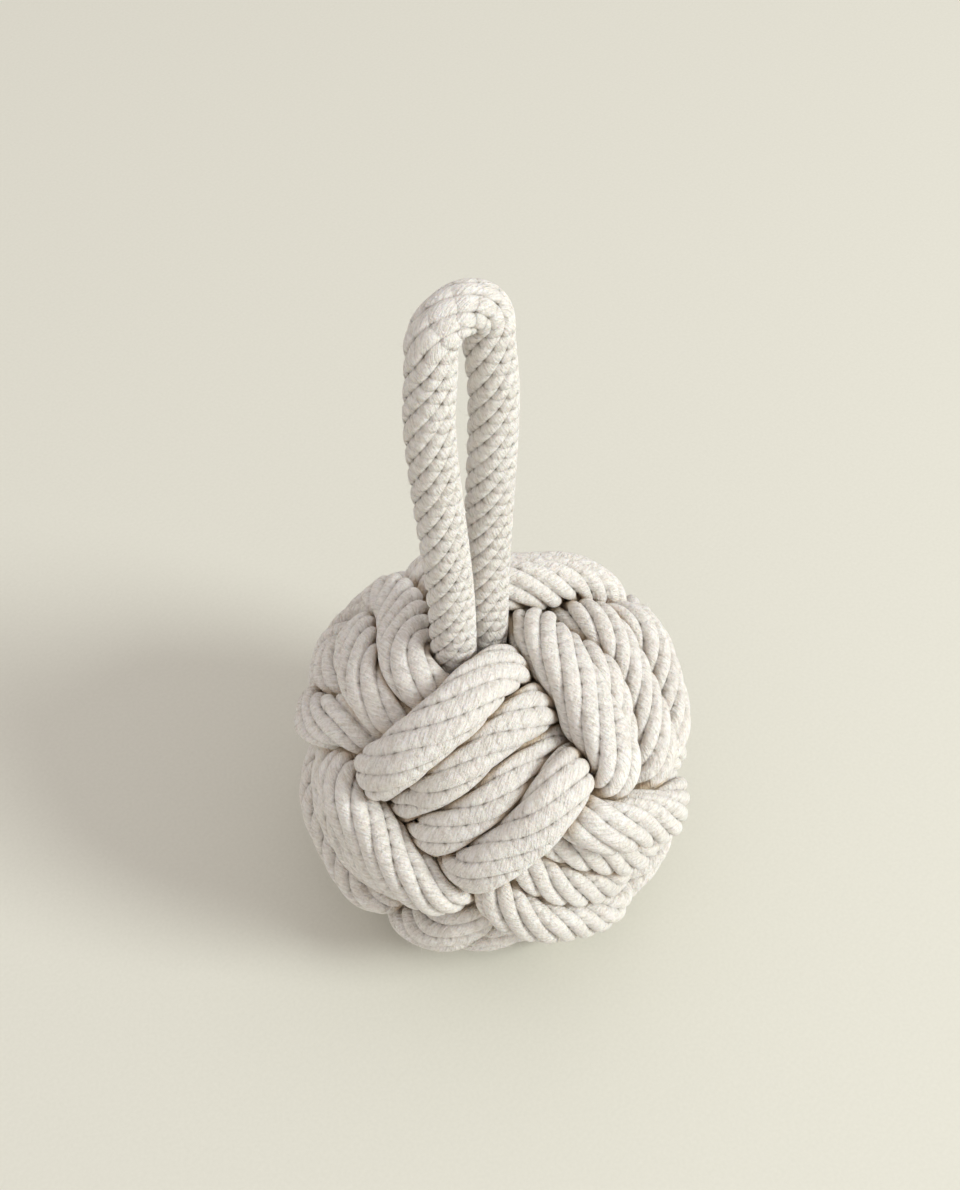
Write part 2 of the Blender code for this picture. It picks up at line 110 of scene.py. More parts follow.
bpy.ops.object.select_all(action="DESELECT")
bpy.ops.object.camera_add()
camera = bpy.context.object
camera.name = "camera"
camera.location = Vector(centre) - ahead * DISTANCE - right * BALL_ASIDE * pixel + above * BALL_BELOW * pixel
camera.rotation_euler = Matrix((right, above, -ahead)).transposed().to_euler()
camera.data.sensor_fit = "VERTICAL"
camera.data.sensor_height = FILM_HEIGHT
camera.data.lens = FOCAL_LENGTH / PICTURE_HEIGHT * FILM_HEIGHT
camera.data.clip_end = FARTHEST_SEEN
bpy.context.scene.camera = camera
print("camera at", [round(x, 3) for x in camera.location])

# %% [markdown]
# ## How a band lies
# Each band is one unbroken rope, wound four times round the ball. The four bands lie on four great circles
# and pass over and under each other in turn. Their middle lines could be drawn by hand, point by point. A
# formula is shorter and keeps the bands alike: a band runs on its circle, steps across to the next lane
# once each time round, and rises and dips three times. These are the lines before they settle.

# %% The bands' middle lines
LOOP_POINTS = 96  # round one turn
TURN_SPACING = 0.95  # between the turns before they settle, in rope diameters
PASSES = 3  # times that each turn passes over other bands, and as often under them
SWAY = 0.2  # how far a band swings towards the four-sided holes, in rope diameters
OVER_UNDER = 0.46  # how far a band passes outside or inside the middle layer, in rope diameters
CROSSING_SHARPNESS = 2.0
HIDDEN_SQUEEZE = 0.77  # the diameter of a hidden turn, drawn tight, for a full one of 1
HIDDEN_COSINE = -0.6  # a turn is hidden up to this cosine of its place between two crossings, at 1 where
FULL_COSINE = 0.1  # it passes over and -1 where it passes under, and has its full diameter from this one
STEP_ANGLE = math.radians(110)  # over this angle a turn moves across to the next one
TUCK_ANGLE = math.radians(22.5)  # the ends stop this far from the middle of the crossing that hides them
WEAVE_TURN = math.radians(32)  # of the weave about the upright axis, from the handle's plane
HOLE_RADIUS = LEG_OFFSET + HANDLE_ROPE_DIAMETER / 4
SPREAD = 1.01  # the ball sags under its own weight: its width, for a round one at 1,
SAG = 0.34  # and the share of its depth under the middle that it loses


def ease(x):
    """0 up to 0, 1 from 1, and a smooth rise between."""
    x = np.clip(x, 0, 1)
    return x * x * (3 - 2 * x)


def band_axes(index):
    """The normal of a band's great circle, and two directions in its plane."""
    turn = WEAVE_TURN + math.radians(360 / BANDS * index)
    upright = np.array([[math.cos(turn), -math.sin(turn), 0], [math.sin(turn), math.cos(turn), 0], [0, 0, 1]])
    normal = upright @ np.array([1, 1, 1]) / math.sqrt(3)
    along = upright @ np.array([-1, 0, 1]) / math.sqrt(2)
    return normal, along, np.cross(normal, along)


def opened(points):
    """The points with the topmost hole spread, so that the handle's legs stand inside it."""
    share = ease(points[:, 2] / BAG_RADIUS)[:, None]
    offset = points[:, :2] - share * HANDLE_PLACE
    wider = np.sqrt(1 + share * (HOLE_RADIUS / np.linalg.norm(offset, axis=1)[:, None]) ** 2)
    return np.column_stack([share * HANDLE_PLACE + offset * wider, points[:, 2]])


def sag(points):
    """How far each point stays from the middle, as a share, when the ball sags under its own weight."""
    up = points[:, 2] / np.linalg.norm(points, axis=1)
    flat = np.where(up < 0, 1 - SAG * up**2, 1)
    return 1 / np.sqrt((1 - up**2) / SPREAD**2 + (up / flat) ** 2)


def band_route(index):
    """A band's middle line and thickness before it settles."""
    step = 2 * math.pi / LOOP_POINTS
    count = round((TURNS * 2 * math.pi - 2 * TUCK_ANGLE) / step) + 1
    wound = TUCK_ANGLE + step * np.arange(count)
    lane = -(TURNS + 1) / 2 + sum(
        ease((wound - 2 * math.pi * loop) / STEP_ANGLE + 0.5) for loop in range(TURNS + 1)
    )
    angle = wound + math.pi
    sideways = (lane * TURN_SPACING + SWAY * np.sin(PASSES * angle)) * ROPE_DIAMETER / WEAVE_RADIUS
    level = np.tanh(CROSSING_SHARPNESS * np.cos(PASSES * angle)) / math.tanh(CROSSING_SHARPNESS)
    radius = WEAVE_RADIUS + OVER_UNDER * ROPE_DIAMETER * level
    normal, along, across = band_axes(index)
    outward = np.cos(angle)[:, None] * along + np.sin(angle)[:, None] * across
    round_ball = radius[:, None] * (np.cos(sideways)[:, None] * outward + np.sin(sideways)[:, None] * normal)
    fullness = ease((np.cos(PASSES * angle) - HIDDEN_COSINE) / (FULL_COSINE - HIDDEN_COSINE))
    thickness = ROPE_DIAMETER * (HIDDEN_SQUEEZE + (1 - HIDDEN_SQUEEZE) * fullness)
    return np.column_stack([opened(round_ball * sag(round_ball)[:, None]), thickness])


# %% [markdown]
# ## Pulling the knot tight
# A real knot is drawn tight turn by turn. A simulation of soft rope could do that, but it is slow and hard
# to steer where so many turns touch. Here the lines are pushed apart where two ropes would share the same
# space, and pulled straight where they bend, a little each round, until they lie still against the bag and
# the legs.

# %% Settle the bands
NEIGHBOUR_REACH = 1.3  # two ropes this near, in rope diameters, press on each other
SAME_ROPE_REACH = 1.6  # and two places on one rope only when further apart along it than this
CROSSING_SQUEEZE = 0.94  # how near two ropes lie, in their diameter, where they cross
SIDE_SQUEEZE = 0.95  # and where they run side by side
BAG_CLEARANCE = 0.0005
SETTLE_ROUNDS = 260
LISTING_ROUNDS = 5  # the neighbours are listed again after so many rounds
NEIGHBOUR_PUSH = 0.18  # the share of an overlap that each round takes away
LEG_PUSH = 0.7
TURN_PULL = 0.2  # the share of a gap between neighbouring turns that each round takes away
TENSION = 0.3  # and of a bend
TINY = 1e-9  # added to a length that may be nothing, before it divides
TIE_HEIGHT = 0.0285  # of the tie round the bag's neck, above the middle of the ball
NECK_ABOVE_TIE = 0.003  # the neck's edge
NECK_TOP = TIE_HEIGHT + NECK_ABOVE_TIE
TAIL_SHIFT = 0.022  # over this height above the neck the tails come over to the handle's place


def close_pairs(points, rope, along):
    """Pairs of points of neighbouring ropes, without those near each other along one rope."""
    square = (points**2).sum(axis=1)
    far = square[:, None] + square[None, :] - 2 * points @ points.T
    first, second = np.where(np.triu(far < (NEIGHBOUR_REACH * ROPE_DIAMETER) ** 2, 1))
    keep = (rope[first] != rope[second]) | (along[second] - along[first] > SAME_ROPE_REACH * ROPE_DIAMETER)
    return first[keep], second[keep]


def aside(heights):
    """How far the handle's rope has come over to its place: 0 in the bag's neck and 1 well above it."""
    return ease((heights - NECK_TOP) / TAIL_SHIFT)


def leg_offset(points):
    """To each upper point from the nearest of the handle's two legs or what lies between them."""
    offset = points[:, :2] - aside(points[:, 2])[:, None] * HANDLE_PLACE
    offset[:, 0] -= np.clip(offset[:, 0], -LEG_OFFSET, LEG_OFFSET)
    offset[points[:, 2] <= 0] = WEAVE_RADIUS
    return offset


def settle(routes):
    """The bands pushed apart until each rope has room, drawn tight, and kept off the bag and the handle."""
    points, thick = np.split(np.concatenate(routes), [3], axis=1)
    thick = thick[:, 0]
    rope = np.repeat(np.arange(len(routes)), [len(route) for route in routes])
    along = np.arange(len(points)) * 2 * math.pi * WEAVE_RADIUS / LOOP_POINTS
    inner = np.where((rope == np.roll(rope, 1)) & (rope == np.roll(rope, -1)))[0]
    turn = np.where(rope[:-LOOP_POINTS] == rope[LOOP_POINTS:])[0]
    clear = thick / 2 + BAG_CLEARANCE
    beside_leg = (HANDLE_ROPE_DIAMETER + thick) / 2
    run = np.zeros_like(points)
    for done in range(SETTLE_ROUNDS):
        if done % LISTING_ROUNDS == 0:
            first, second = close_pairs(points, rope, along)
            run[inner] = points[inner + 1] - points[inner - 1]
            run /= np.linalg.norm(run, axis=1)[:, None] + TINY
            beside = np.abs((run[first] * run[second]).sum(axis=1))
            room = (thick[first] + thick[second]) / 2
            room *= CROSSING_SQUEEZE + (SIDE_SQUEEZE - CROSSING_SQUEEZE) * beside
        between = points[first] - points[second]
        far = np.linalg.norm(between, axis=1)
        push = between * (NEIGHBOUR_PUSH * np.clip(room - far, 0, None) / far)[:, None]
        np.add.at(points, first, push)
        np.add.at(points, second, -push)
        between = points[turn] - points[turn + LOOP_POINTS]
        far = np.linalg.norm(between, axis=1)
        pull = between * (TURN_PULL * np.clip(far - TURN_SPACING * thick[turn], 0, None) / far)[:, None]
        points[turn] -= pull
        points[turn + LOOP_POINTS] += pull
        points[inner] += TENSION * ((points[inner - 1] + points[inner + 1]) / 2 - points[inner])
        reach = clear + sag(points) * BAG_RADIUS
        points *= np.maximum(1, reach / np.linalg.norm(points, axis=1))[:, None]
        offset = leg_offset(points)
        far = np.linalg.norm(offset, axis=1)
        near = far < beside_leg
        points[near, :2] += offset[near] * (LEG_PUSH * (beside_leg - far)[near] / far[near])[:, None]
    settled = np.column_stack([points, thick])
    return np.split(settled, np.cumsum([len(route) for route in routes])[:-1])


bands = settle([band_route(index) for index in range(BANDS)])
print("settled", [len(band) for band in bands], "points")


# %% [markdown]
# ## The handle's line
# The handle is one rope: its left end lies in the neck of the sand bag, it rises through the topmost hole,
# turns over, and goes back down the same way. Its line is made of a few plain parts, because each has a
# size of its own: two legs whose gap widens and narrows again, an arc at the top, and two tails.

# %% The handle's middle line
LOOP_HEIGHT = 0.230  # from the middle of the ball to the top of the loop
LOOP_WIDTH = 0.0248  # between the middles of the legs where the loop is widest
TOP_WIDTH = 0.0205  # and where its top arc starts
TOP_NARROWING = 0.032  # from the one down to the other
LOOP_TWIST = math.radians(-15)  # of the top of the loop against its legs
LOOP_LEAN = -0.0035  # the top of the loop stands this far to one side
LEG_POINTS = 24
TOP_POINTS = 11
TAIL_END = 0.0132  # above the middle of the ball
TAIL_STEP = 0.005
HINGE_SPARE = 0.004  # the tails' last points lie at least this far under the hinge
TIE_TWINE = 0.0025  # the thickness of the whole tie
TIED_FROM = TIE_HEIGHT - TIE_TWINE  # the tied part of the neck starts here
WHIPPING_SETBACK = 0.0005  # from the tail's cut end
WHIPPING_LENGTH = 0.005
WHIPPING_WALL = 0.0013
WHIPPING_GAP = 0.0011  # between the two whippings
SEAT_CLEARANCE = 0.0003
TAIL_STRAIGHT = 0.0015  # each tail is straight this far above its whipping
TAIL_PARTING = 0.001  # and starts to lean away from the other this far under the neck's tied part
STRAIGHT_TOP = TAIL_END + WHIPPING_SETBACK + WHIPPING_LENGTH + TAIL_STRAIGHT
TAIL_SPLAY = HANDLE_ROPE_DIAMETER / 2 + SEAT_CLEARANCE + WHIPPING_WALL + WHIPPING_GAP / 2  # of the ends


def arc(middle, radius, start, end, count):
    """Points on an arc in the plane of (across, height), from one angle to another."""
    return [
        (middle[0] + radius * math.cos(angle), middle[1] + radius * math.sin(angle))
        for angle in (start + (end - start) * k / (count - 1) for k in range(count))
    ]


def loop_route():
    """The loop's middle line above the hinge, with its twist and its lean."""
    rise = LOOP_HEIGHT - HANDLE_ROPE_DIAMETER / 2 - TOP_WIDTH / 2 - HINGE_HEIGHT
    heights = np.linspace(0, rise, LEG_POINTS)
    opening = LEG_OFFSET + (LOOP_WIDTH / 2 - LEG_OFFSET) * ease(heights / (rise - TOP_NARROWING))
    opening -= (LOOP_WIDTH - TOP_WIDTH) / 2 * ease((heights - rise) / TOP_NARROWING + 1)
    top = arc((0, rise), TOP_WIDTH / 2, math.pi, 0, TOP_POINTS)[1:-1]
    loop = []
    for across, height in [*zip(-opening, heights), *top, *zip(opening[::-1], heights[::-1])]:
        share = ease(height / (rise + TOP_WIDTH / 2))
        twist = LOOP_TWIST * share
        loop.append((
            HANDLE_PLACE[0] + LOOP_LEAN * share + across * math.cos(twist),
            HANDLE_PLACE[1] + across * math.sin(twist),
            HINGE_HEIGHT + height,
        ))
    return loop


def tail_route(side):
    """A tail's middle line from its cut end up to the hinge. The left tail has a side of -1, the right 1."""
    lowest = np.linspace(TAIL_END, STRAIGHT_TOP, 3)[:-1]
    heights = np.concatenate([lowest, np.arange(STRAIGHT_TOP, HINGE_HEIGHT - HINGE_SPARE, TAIL_STEP)])
    parting = TIED_FROM - TAIL_PARTING
    apart = LEG_OFFSET + (TAIL_SPLAY - LEG_OFFSET) * ease((parting - heights) / (parting - STRAIGHT_TOP))
    share = aside(heights)
    return np.column_stack([side * apart + HANDLE_PLACE[0] * share, HANDLE_PLACE[1] * share, heights])


def handle_route():
    """The whole handle's middle line about the middle of the ball, from one tail's end to the other's."""
    return np.concatenate([tail_route(-1), loop_route(), tail_route(1)[::-1]])


# %% [markdown]
# ## Soft rope
# Rope that is squeezed is no longer round: it goes flat against what presses on it. A curve with a round
# bevel would be quick, but its turns would sink into each other. So each rope's section is worked out ring
# by ring. In each direction from the middle line the surface stops at the radius that it has where nothing
# presses, or part of the way to the nearest neighbour, or at the floor, whichever comes first. The woven
# ropes are drawn so tight that even their free sections are a little square.

# %% Lines as fine rings
FINE_STEPS = 12  # of a smooth curve between two points of a line
START_SIDE = (0.3, 0.2, 1)  # any direction that no line starts along


def unit(vectors):
    """Each vector at a length of one."""
    return vectors / np.linalg.norm(vectors, axis=1)[:, None]


def lengths_along(points):
    """How far along a line each of its points lies."""
    return np.concatenate([[0], np.cumsum(np.linalg.norm(np.diff(points, axis=0), axis=1))])


def evenly(points, step, rounds):
    """A line's points again at an even step, on a smooth curve, with any more columns carried along. Before
    that each point moves halfway to the middle of its neighbours, as often as rounds says."""
    for _ in range(rounds):
        points = points.copy()
        points[1:-1] += 0.25 * (points[:-2] + points[2:] - 2 * points[1:-1])
    count = len(points)
    place = np.linspace(0, count - 1, (count - 1) * FINE_STEPS + 1)
    low = np.clip(place.astype(int), 0, count - 2)
    share = (place - low)[:, None]
    padded = np.concatenate([2 * points[:1] - points[1:2], points, 2 * points[-1:] - points[-2:-1]])
    before, start, end, after = (padded[low + k] for k in range(4))
    fine = 0.5 * (
        2 * start + (end - before) * share
        + (2 * before - 5 * start + 4 * end - after) * share**2
        + (3 * start - before - 3 * end + after) * share**3
    )
    length = lengths_along(fine[:, :3])
    at = np.linspace(0, length[-1], round(length[-1] / step) + 1)
    return np.stack([np.interp(at, length, column) for column in fine.T], axis=1)


def cross_directions(points):
    """Along a line, two directions across it that follow its bends without twisting."""
    run = unit(np.gradient(points, axis=0))
    across = np.cross(run[0], START_SIDE)
    first = []
    for direction in run:
        across = across - direction * (across @ direction)
        across /= np.linalg.norm(across)
        first.append(across)
    first = np.array(first)
    return first, np.cross(run, first)


def pointing(first, second, angle):
    """The directions across a line that lie at some angles from the first of its two towards the second."""
    return first[:, None] * np.cos(angle)[..., None] + second[:, None] * np.sin(angle)[..., None]


# %% The room that a rope has
SECTION_DIRECTIONS = 48
CONTACT_GAP = 0.00003
NEAREST = 40  # so many of the neighbours' places can press on a ring
LEAST_COSINE = 0.2  # a neighbour stops only the directions that point to it by this cosine or more
FAR = 1.0  # as good as nothing in the way
section_angles = 2 * math.pi * np.arange(SECTION_DIRECTIONS) / SECTION_DIRECTIONS


def room_round(places, thick, along, outward, others, own):
    """How far some rings of a line may reach in each direction. Each row of others holds a neighbour's place,
    its thickness, the number of its line and the length along it."""
    between = others[None, :, :3] - places[:, None]
    far = np.linalg.norm(between, axis=2)
    close_along = np.abs(others[None, :, 5] - along[:, None]) < SAME_ROPE_REACH * ROPE_DIAMETER
    far[(others[None, :, 4] == own) & close_along] = FAR
    nearest = np.argsort(far, axis=1)[:, :NEAREST]
    far = np.take_along_axis(far, nearest, axis=1)
    between = np.take_along_axis(between, nearest[:, :, None], axis=1) / far[:, :, None]
    share = thick[:, None] / (thick[:, None] + others[nearest, 3])
    cosine = np.einsum("nak,njk->naj", outward, between)
    stop = (share * far - CONTACT_GAP)[:, None] / np.clip(cosine, LEAST_COSINE, None)
    stop = np.where(cosine > LEAST_COSINE, stop, FAR).min(axis=2)
    down = -outward[:, :, 2]
    to_floor = (places[:, None, 2] + centre[2]) / np.clip(down, LEAST_COSINE, None)
    return np.minimum(stop, np.where(down > LEAST_COSINE, to_floor, FAR))


# %% The sections of a squeezed rope
CORNER = 15.0  # the higher, the sharper the bend from a rope's free side to its flattened one
LEAST_RADIUS = 0.002
ROUND_BLUR = 0.7  # in section directions
ALONG_BLUR = 1.5  # in rings
SOFT_LIMIT = 1.02  # the smoothed surface may reach this far, for the room that it has at 1
RINGS_AT_ONCE = 200

Sections = namedtuple("Sections", "squeezed free first second")


def blurred(values, width, axis, mode):
    """Values smoothed along one axis with a small bell of the given width in steps. Past the ends lie the
    values of the other end, for a mode of wrap, or more of the last value, for a mode of edge."""
    reach = int(3 * width) + 1
    bell = np.exp(-0.5 * (np.arange(-reach, reach + 1) / width) ** 2)
    padded = np.pad(values, [(reach, reach) if k == axis else (0, 0) for k in range(values.ndim)], mode=mode)
    size = values.shape[axis]
    shares = enumerate(bell / bell.sum())
    return sum(share * padded.take(range(k, k + size), axis=axis) for k, share in shares)


def free_radii(places, first, second, radius, fullness):
    """The radius that each section has in each direction where nothing presses. At a fullness of 2 it is
    round, and above that its sides are fuller, in line with the ball's surface."""
    outward = unit(places)
    out = np.stack([(outward * first).sum(axis=1), (outward * second).sum(axis=1)])
    out /= np.linalg.norm(out, axis=0) + TINY
    cosine = out[0][:, None] * np.cos(section_angles) + out[1][:, None] * np.sin(section_angles)
    sine = np.sqrt(np.clip(1 - cosine**2, 0, 1))
    return radius * (np.abs(cosine) ** fullness + sine**fullness) ** (-1 / fullness)


def sections_of(line, others, radius, fullness, own):
    """A line's sections: for each ring the radii, squeezed and free, and the two directions that they are
    counted from. A line's columns are its places and its thickness."""
    places, thick = line[:, :3], line[:, 3]
    first, second = cross_directions(places)
    outward = pointing(first, second, section_angles)
    along = lengths_along(places)
    stretches = [slice(start, start + RINGS_AT_ONCE) for start in range(0, len(line), RINGS_AT_ONCE)]
    stop = [room_round(places[k], thick[k], along[k], outward[k], others, own) for k in stretches]
    stop = np.concatenate(stop)
    free = free_radii(places, first, second, radius, fullness)
    soft = (np.clip(stop, LEAST_RADIUS, FAR) ** -CORNER + free**-CORNER) ** (-1 / CORNER)
    soft = blurred(blurred(soft, ROUND_BLUR, 1, "wrap"), ALONG_BLUR, 0, "edge")
    return Sections(np.minimum(soft, stop * SOFT_LIMIT), free, first, second)


# %% [markdown]
# ## Loose fibres
# Cotton rope is hairy: short ends of fibre stand off it everywhere and soften its outline. Blender's hair
# could make them, but it isn't part of the mesh, so here each fibre is a ribbon of three faces in the
# rope's own mesh and moves with it. Fibres grow only where the rope lies open, because nobody sees those
# inside the ball.

# %% Loose fibres
FIBRE_LENGTH = 0.0019
FIBRE_WIDTH = 0.00009
FIBRE_PARTS = 3
FIBRE_LENGTHS = (0.4, 1.2)  # the shortest and the longest, as shares of the length
FIBRE_RISES = (0.1, 0.8)  # how steeply the flattest and the steepest leave the rope
FIBRE_CURL = 0.35
FIBRE_DROOP = 0.25  # how far each one bends back to the rope
FIBRE_TAPER = 0.6  # the share of its width that it loses towards its tip
TRIES_PER_FIBRE = 8
OPEN_COSINE = 0.3  # a place on the ball is open where it faces outwards by this cosine or more,
OPEN_SQUEEZE = 0.1  # and is pressed by less than this
HANDLE_REACH = 0.03  # no fibres this near the handle's foot, where the loop leans over them
RUN_REACH = 3  # rings to either side that show which way the rope runs


def loose_fibres(places, surface, pressed, count, seed):
    """The points and faces of short, thin, curved fibres that stand off the open side of a rope."""
    chance = np.random.default_rng(seed)
    ring = chance.integers(RUN_REACH, len(places) - RUN_REACH, count * TRIES_PER_FIBRE)
    side = chance.integers(0, surface.shape[1], count * TRIES_PER_FIBRE)
    root = surface[ring, side]
    out = unit(root - places[ring])
    on_ball = (out * unit(root - centre)).sum(axis=1) > OPEN_COSINE
    on_ball &= np.linalg.norm(root[:, :2] - hinge[:2], axis=1) > HANDLE_REACH
    keep = (on_ball | (root[:, 2] > hinge[2] + HANDLE_REACH)) & (pressed[ring, side] < OPEN_SQUEEZE)
    keep = np.where(keep & (root[:, 2] > FIBRE_LENGTH))[0][:count]
    ring, root, out = ring[keep], root[keep], out[keep]
    run = unit(places[ring + RUN_REACH] - places[ring - RUN_REACH])
    turn = chance.uniform(0, 2 * math.pi, len(keep))[:, None]
    lie = run * np.cos(turn) + np.cross(out, run) * np.sin(turn)
    rise = out * chance.uniform(*FIBRE_RISES, (len(keep), 1))
    curl = chance.normal(0, FIBRE_CURL, (len(keep), 3)) - FIBRE_DROOP * out
    length = FIBRE_LENGTH * chance.uniform(*FIBRE_LENGTHS, (len(keep), 1))
    wide = unit(np.cross(lie, out)) * FIBRE_WIDTH / 2
    points = []
    for part in np.linspace(0, 1, FIBRE_PARTS + 1):
        path = root + length * (part * (lie + rise) + part**2 * curl)
        points += [path - wide * (1 - FIBRE_TAPER * part), path + wide * (1 - FIBRE_TAPER * part)]
    start = 2 * (FIBRE_PARTS + 1) * np.arange(len(keep))[:, None] + 2 * np.arange(FIBRE_PARTS)
    faces = np.stack([start, start + 1, start + 3, start + 2], axis=-1)
    return np.stack(points, axis=1).reshape(-1, 3), faces.reshape(-1, 4)


# %% [markdown]
# ## Laid rope
# Each rope is eight strands, twisted round a core. Along the rope the strands run in a slant like the
# stroke of a Z, with a groove between each two. Displacement could press the grooves into a smooth tube,
# but would blur them. Here each ring of the mesh turns with the strands, so every groove lies along the
# mesh's own edges and stays sharp. The grooves are deeper where the rope is pressed. The rope's own map
# holds the strand and the place across it in one direction and the length along the rope in the other, for
# the finish to follow.

# %% Meshes of rings
def tube_corners(rings, around, downwards=False):
    """The ring and the side of each corner of the faces between a tube's neighbouring rings. The faces point
    outwards if the rings go up, or down when that is said."""
    ring, side = np.meshgrid(np.arange(rings - 1), np.arange(around), indexing="ij")
    near, far = (ring + 1, ring) if downwards else (ring, ring + 1)
    corners = (np.stack([near, near, far, far], axis=-1), np.stack([side, side + 1, side + 1, side], axis=-1))
    return [values.reshape(-1, 4) for values in corners]


def mapped_piece(name, points, faces, map_name, flat):
    """A smooth piece with a map. The map's values are for the corners of the faces in turn, and any corners
    that are left get (0, 0)."""
    mesh = bpy.data.meshes.new(name)
    mesh.from_pydata(points, [], faces)
    values = np.zeros((len(mesh.loops), 2), np.float32)
    values[: len(flat)] = flat
    mesh.uv_layers.new(name=map_name).data.foreach_set("uv", values.ravel())
    mesh.shade_smooth()
    piece = bpy.data.objects.new(name, mesh)
    bpy.context.scene.collection.objects.link(piece)
    return piece


# %% The mesh of a laid rope
STRANDS = 8
POINTS_PER_STRAND = 8
GROOVE_SHARPNESS = 3.0
EDGE_GROOVES = 1.6  # how much deeper the grooves are where the rope is pressed, as a share
PRESSED_FROM = 0.99  # the rope counts as pressed from this share of its free radius down
PRESSED_OVER = 0.12  # and as fully pressed after losing so much more of it
FLOOR_CLEARANCE = 0.0001
MAP_SCALE = 100  # steps of the rope's map in a metre along it


def read_round(values, angle):
    """Values given for the section's directions, read off at each ring's own angles."""
    place = (angle / (2 * math.pi) * SECTION_DIRECTIONS) % SECTION_DIRECTIONS
    low = place.astype(int) % SECTION_DIRECTIONS
    share = place - place.astype(int)
    ring = np.arange(len(values))[:, None]
    return values[ring, low] * (1 - share) + values[ring, (low + 1) % SECTION_DIRECTIONS] * share


def laid_rope(name, line, sections, lay_angle, depth, diameter, strands=STRANDS, fibres=0):
    """A rope of twisted strands with closed ends and, if asked, loose fibres. The lay's angle and the
    grooves' depth are given once or for each ring."""
    around = strands * POINTS_PER_STRAND
    places = line[:, :3] + centre
    along = lengths_along(places)
    twist = np.cumsum(np.diff(along, prepend=0) * 2 * np.tan(lay_angle) / diameter)
    angle = twist[:, None] + 2 * math.pi * np.arange(around) / around
    smooth, free = read_round(sections.squeezed, angle), read_round(sections.free, angle)
    pressed = ease((PRESSED_FROM - smooth / free) / PRESSED_OVER)
    groove = np.abs(2 * (np.arange(POINTS_PER_STRAND) / POINTS_PER_STRAND) - 1) ** GROOVE_SHARPNESS
    depth = np.reshape(depth, (-1, 1)) * (1 + EDGE_GROOVES * pressed)
    radius = smooth * (1 - depth * np.tile(groove, strands))
    surface = places[:, None] + radius[:, :, None] * pointing(sections.first, sections.second, angle)

    loose, ribbons = loose_fibres(places, surface, pressed, fibres, len(line))
    points = np.concatenate([surface.reshape(-1, 3), loose])
    points[:, 2] = np.maximum(points[:, 2], FLOOR_CLEARANCE)
    ring, side = tube_corners(len(line), around)
    ends = [list(range(around))[::-1], [(len(line) - 1) * around + k for k in range(around)]]
    faces = [*(ring * around + side % around).tolist(), *ends, *(ribbons + surface.size // 3).tolist()]
    lay = np.stack([side / POINTS_PER_STRAND, along[ring] * MAP_SCALE], axis=-1).reshape(-1, 2)
    flat = np.concatenate([lay, np.zeros((2 * around, 2)), np.tile((0.5, 0), (ribbons.size, 1))])
    rope = mapped_piece(name, points, faces, "lay", flat)
    pressed = np.concatenate([pressed.ravel(), np.zeros(len(loose))])
    rope.data.attributes.new("pressed", "FLOAT", "POINT").data.foreach_set("value", pressed)
    return rope


# %% [markdown]
# ## The cotton
# Cotton rope is off-white and dull. Three things make it read as rope from close by: the grooves, along which
# shade is painted as dark lines that break into dots and fade in places, the small beads that each strand's
# yarns form, and the fine slanting fibres. A picture could show them, but it would stretch on the bends and
# repeat. Here they come from the rope's own map, so they follow every bend. Where turns press on each other,
# the shade in the gaps between them is painted in as a warm brown. The woven ropes and the handle share one
# pattern, each with beads of its own length.

# %% Small helpers for node trees
def node(tree, kind, **values):
    """A node of the given kind. Values that name a property set it; the others set the input so named."""
    made = tree.nodes.new(kind)
    for key, value in values.items():
        if hasattr(made, key):
            setattr(made, key, value)
        else:
            made.inputs[key.replace("_", " ")].default_value = value
    return made


def fed(tree, made, *operands):
    """A node's first output, after its inputs are fed in turn from sockets or numbers."""
    for socket, operand in zip(made.inputs, operands):
        if isinstance(operand, (int, float)):
            socket.default_value = operand
        else:
            tree.links.new(operand, socket)
    return made.outputs[0]


def math_node(tree, operation, *operands):
    return fed(tree, node(tree, "ShaderNodeMath", operation=operation), *operands)


def vector_node(tree, *operands):
    return fed(tree, tree.nodes.new("ShaderNodeCombineXYZ"), *operands)


def parts(tree, vector):
    """A vector's first two parts."""
    made = tree.nodes.new("ShaderNodeSeparateXYZ")
    fed(tree, made, vector)
    return made.outputs[0], made.outputs[1]


def noise_node(tree, vector, scale, detail, roughness=0.5):
    made = node(tree, "ShaderNodeTexNoise", Scale=scale, Detail=detail, Roughness=roughness)
    return fed(tree, made, vector)


def ramp_node(tree, value, low, high):
    """A colour that goes from one to another as a value goes from 0 to 1."""
    made = tree.nodes.new("ShaderNodeValToRGB")
    for element, colour in zip(made.color_ramp.elements, (low, high)):
        element.color = (*colour, 1)
    return fed(tree, made, value)


def mix_node(tree, share, first, second):
    """A socket's colour, changed by a share to a second colour. Inputs 6 and 7 and output 2 hold colours."""
    made = node(tree, "ShaderNodeMix", data_type="RGBA")
    tree.links.new(share, made.inputs[0])
    tree.links.new(first, made.inputs[6])
    made.inputs[7].default_value = (*second, 1)
    return made.outputs[2]


def object_place(tree):
    return tree.nodes.new("ShaderNodeTexCoord").outputs["Object"]


def own_map(tree, name):
    return node(tree, "ShaderNodeUVMap", uv_map=name).outputs[0]


def finish(name, roughness):
    """A new material of a given roughness, its node tree and its Principled shader."""
    made = bpy.data.materials.new(name)
    made.use_nodes = True
    shader = made.node_tree.nodes["Principled BSDF"]
    shader.inputs["Roughness"].default_value = roughness
    return made, made.node_tree, shader


def raise_surface(tree, shader, height, strength, distance):
    """Let a height stand out from a shader's surface by up to a distance."""
    bump = node(tree, "ShaderNodeBump", Strength=strength, Distance=distance)
    tree.links.new(height, bump.inputs["Height"])
    tree.links.new(bump.outputs[0], shader.inputs["Normal"])


